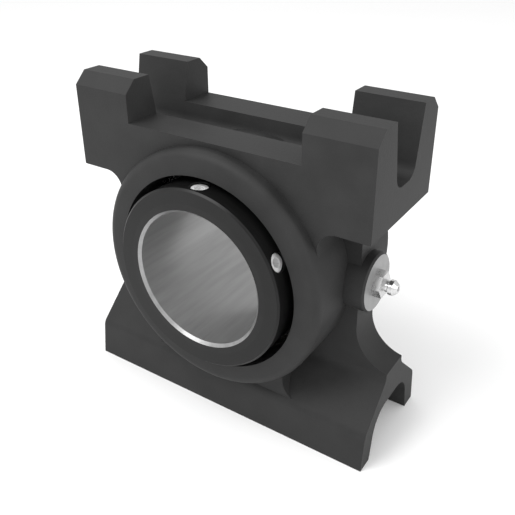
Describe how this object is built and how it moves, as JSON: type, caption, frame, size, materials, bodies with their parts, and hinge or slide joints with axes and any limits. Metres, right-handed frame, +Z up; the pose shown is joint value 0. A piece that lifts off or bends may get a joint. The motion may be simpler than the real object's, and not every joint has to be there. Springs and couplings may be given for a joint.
{
  "type": "take-up bearing unit",
  "caption": "One-piece take-up bearing unit: slotted cast housing guided above and below, self-aligning ball insert, set-screw locking collar and grease nipple.",
  "frame": {"origin": "centre of the bearing, on the shaft axis in the ball plane", "axes": "+X along the slides towards the grease nipple, -Y along the shaft axis towards the locking collar, +Z up"},
  "size_m": [0.148, 0.0737, 0.1487],
  "materials": {
    "housing_iron": "dark grey satin paint on cast iron",
    "ring_steel": "ground",
    "black_steel": "black oxide, ground bore",
    "collar_steel": "black oxide",
    "screw_steel": "zinc plated",
    "ball_steel": "polished",
    "cage_steel": "pressed",
    "seal_rubber": "matt",
    "nipple_steel": "zinc plated",
    "spring_steel": "drawn wire"
  },
  "bodies": {
    "housing": {"housing": "housing_iron", "grease_nipple": "nipple_steel"},
    "outer_ring": {"outer_ring": "ring_steel", "seal_front": "seal_rubber", "seal_back": "seal_rubber"},
    "inner_ring": {"inner_ring": "black_steel", "locking_collar": "collar_steel", "set_screw_top": "screw_steel", "set_screw_side": "screw_steel"},
    "cage": {"cage_front": "cage_steel", "cage_back": "cage_steel", "cage_rivets": "cage_steel"},
    "check_ball": {"check_ball": "ball_steel", "nipple_spring": "spring_steel"},
    "ball_01": {"ball_01": "ball_steel"},
    "ball_02": {"ball_02": "ball_steel"},
    "ball_03": {"ball_03": "ball_steel"},
    "ball_04": {"ball_04": "ball_steel"},
    "ball_05": {"ball_05": "ball_steel"},
    "ball_06": {"ball_06": "ball_steel"},
    "ball_07": {"ball_07": "ball_steel"},
    "ball_08": {"ball_08": "ball_steel"},
    "ball_09": {"ball_09": "ball_steel"},
    "ball_10": {"ball_10": "ball_steel"},
    "ball_11": {"ball_11": "ball_steel"},
    "ball_12": {"ball_12": "ball_steel"}
  },
  "joints": [
    {"name": "self_aligning", "type": "hinge", "parent": "housing", "child": "outer_ring", "pos_m": [0, 0, 0], "axis": [0, 0, 1], "range_deg": [-2, 2]},
    {"name": "shaft_spin", "type": "hinge", "parent": "outer_ring", "child": "inner_ring", "pos_m": [0, 0, 0], "axis": [0, -1, 0], "continuous": true},
    {"name": "cage_spin", "type": "hinge", "parent": "outer_ring", "child": "cage", "pos_m": [0, 0, 0], "axis": [0, -1, 0], "continuous": true},
    {"name": "check_ball_lift", "type": "slide", "parent": "housing", "child": "check_ball", "axis": [-1, 0, 0], "range_m": [0, 0.0008], "stiffness_N_per_m": 20, "springref_m": -0.0002},
    {"name": "ball_01_roll", "type": "hinge", "parent": "cage", "child": "ball_01", "pos_m": [0, 0, 0.03876], "axis": [0, -1, 0], "continuous": true},
    {"name": "ball_02_roll", "type": "hinge", "parent": "cage", "child": "ball_02", "pos_m": [-0.01938, 0, 0.03356], "axis": [0, -1, 0], "continuous": true},
    {"name": "ball_03_roll", "type": "hinge", "parent": "cage", "child": "ball_03", "pos_m": [-0.03356, 0, 0.01938], "axis": [0, -1, 0], "continuous": true},
    {"name": "ball_04_roll", "type": "hinge", "parent": "cage", "child": "ball_04", "pos_m": [-0.03876, 0, 0], "axis": [0, -1, 0], "continuous": true},
    {"name": "ball_05_roll", "type": "hinge", "parent": "cage", "child": "ball_05", "pos_m": [-0.03356, 0, -0.01938], "axis": [0, -1, 0], "continuous": true},
    {"name": "ball_06_roll", "type": "hinge", "parent": "cage", "child": "ball_06", "pos_m": [-0.01938, 0, -0.03356], "axis": [0, -1, 0], "continuous": true},
    {"name": "ball_07_roll", "type": "hinge", "parent": "cage", "child": "ball_07", "pos_m": [0, 0, -0.03876], "axis": [0, -1, 0], "continuous": true},
    {"name": "ball_08_roll", "type": "hinge", "parent": "cage", "child": "ball_08", "pos_m": [0.01938, 0, -0.03356], "axis": [0, -1, 0], "continuous": true},
    {"name": "ball_09_roll", "type": "hinge", "parent": "cage", "child": "ball_09", "pos_m": [0.03356, 0, -0.01938], "axis": [0, -1, 0], "continuous": true},
    {"name": "ball_10_roll", "type": "hinge", "parent": "cage", "child": "ball_10", "pos_m": [0.03876, 0, 0], "axis": [0, -1, 0], "continuous": true},
    {"name": "ball_11_roll", "type": "hinge", "parent": "cage", "child": "ball_11", "pos_m": [0.03356, 0, 0.01938], "axis": [0, -1, 0], "continuous": true},
    {"name": "ball_12_roll", "type": "hinge", "parent": "cage", "child": "ball_12", "pos_m": [0.01938, 0, 0.03356], "axis": [0, -1, 0], "continuous": true}
  ],
  "couplings": [
    {"joint": "cage_spin", "follows": "shaft_spin", "ratio": 0.42832},
    {"joint": "ball_01_roll", "follows": "shaft_spin", "ratio": -3.4161},
    {"joint": "ball_02_roll", "follows": "shaft_spin", "ratio": -3.4161},
    {"joint": "ball_03_roll", "follows": "shaft_spin", "ratio": -3.4161},
    {"joint": "ball_04_roll", "follows": "shaft_spin", "ratio": -3.4161},
    {"joint": "ball_05_roll", "follows": "shaft_spin", "ratio": -3.4161},
    {"joint": "ball_06_roll", "follows": "shaft_spin", "ratio": -3.4161},
    {"joint": "ball_07_roll", "follows": "shaft_spin", "ratio": -3.4161},
    {"joint": "ball_08_roll", "follows": "shaft_spin", "ratio": -3.4161},
    {"joint": "ball_09_roll", "follows": "shaft_spin", "ratio": -3.4161},
    {"joint": "ball_10_roll", "follows": "shaft_spin", "ratio": -3.4161},
    {"joint": "ball_11_roll", "follows": "shaft_spin", "ratio": -3.4161},
    {"joint": "ball_12_roll", "follows": "shaft_spin", "ratio": -3.4161}
  ]
}
